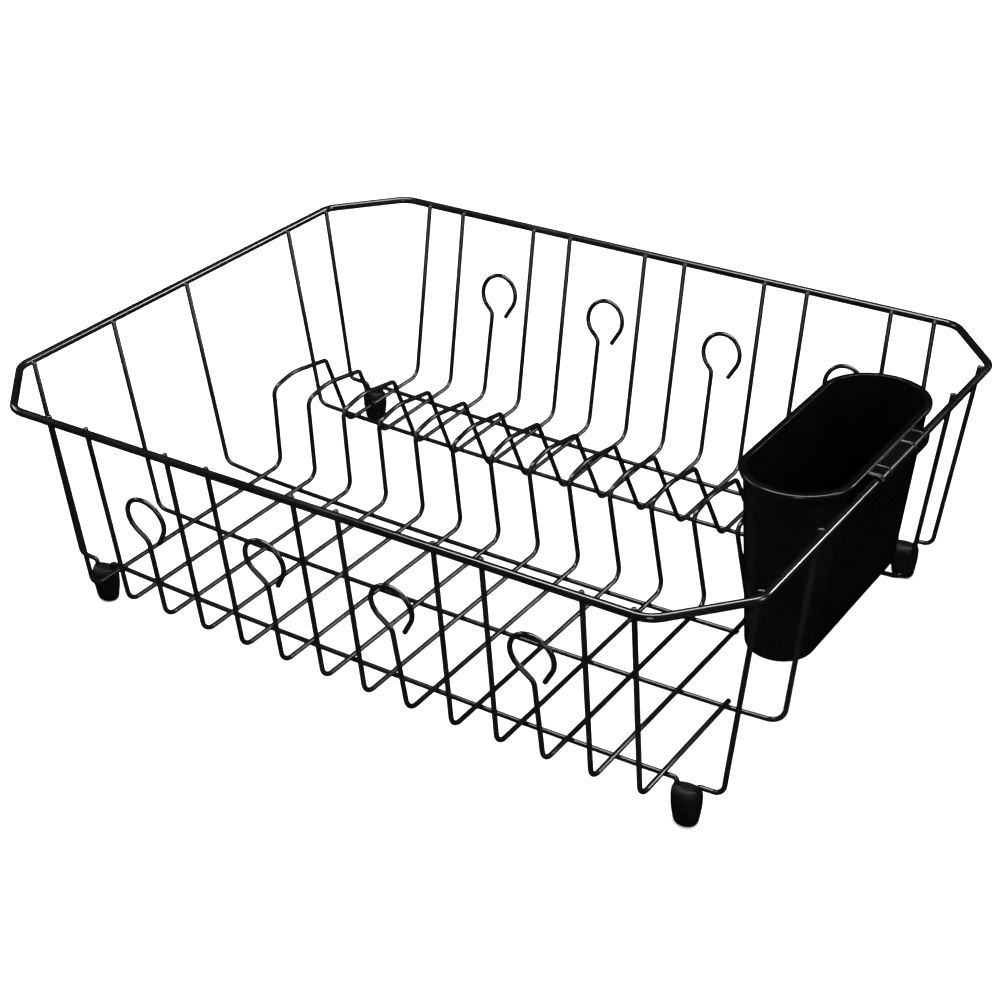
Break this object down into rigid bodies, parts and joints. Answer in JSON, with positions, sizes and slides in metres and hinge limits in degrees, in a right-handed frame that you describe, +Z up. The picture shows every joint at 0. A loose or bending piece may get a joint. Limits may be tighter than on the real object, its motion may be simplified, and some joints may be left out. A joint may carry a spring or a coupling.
{
  "type": "dish drying rack",
  "caption": "One-tier dish drying rack of welded, coated wire with bent plate dividers, open glass loops, push-on feet and a lift-off utensil cup.",
  "frame": {"origin": "under the middle of the whole box, on the surface that the feet stand on", "axes": "+X along the rack towards the utensil cup, +Y from the front to the back, +Z up"},
  "size_m": [0.4501, 0.3584, 0.1435],
  "materials": {
    "coated_wire": "gloss black polymer coating on steel wire",
    "cup_plastic": "satin black moulded plastic",
    "foot_plastic": "soft black plastic with a low sheen"
  },
  "bodies": {
    "rack": {"rim": "coated_wire", "lengthwise_wire_1": "coated_wire", "lengthwise_wire_2": "coated_wire", "lengthwise_wire_3": "coated_wire", "lengthwise_wire_4": "coated_wire", "lengthwise_wire_5": "coated_wire", "cross_wire_01": "coated_wire", "cross_wire_02": "coated_wire", "cross_wire_03": "coated_wire", "cross_wire_04": "coated_wire", "cross_wire_05": "coated_wire", "cross_wire_06": "coated_wire", "cross_wire_07": "coated_wire", "cross_wire_08": "coated_wire", "cross_wire_09": "coated_wire", "cross_wire_10": "coated_wire", "cross_wire_11": "coated_wire", "cross_wire_12": "coated_wire", "cross_wire_13": "coated_wire", "cross_wire_14_front": "coated_wire", "cross_wire_14_back": "coated_wire", "foot_front_left": "foot_plastic", "foot_front_right": "foot_plastic", "foot_back_left": "foot_plastic", "foot_back_right": "foot_plastic"},
    "utensil_cup": {"utensil_cup": "cup_plastic"}
  },
  "joints": [
    {"name": "cup_lift", "type": "slide", "parent": "rack", "child": "utensil_cup", "axis": [0, 0, 1], "range_m": [0, 0.11]}
  ]
}
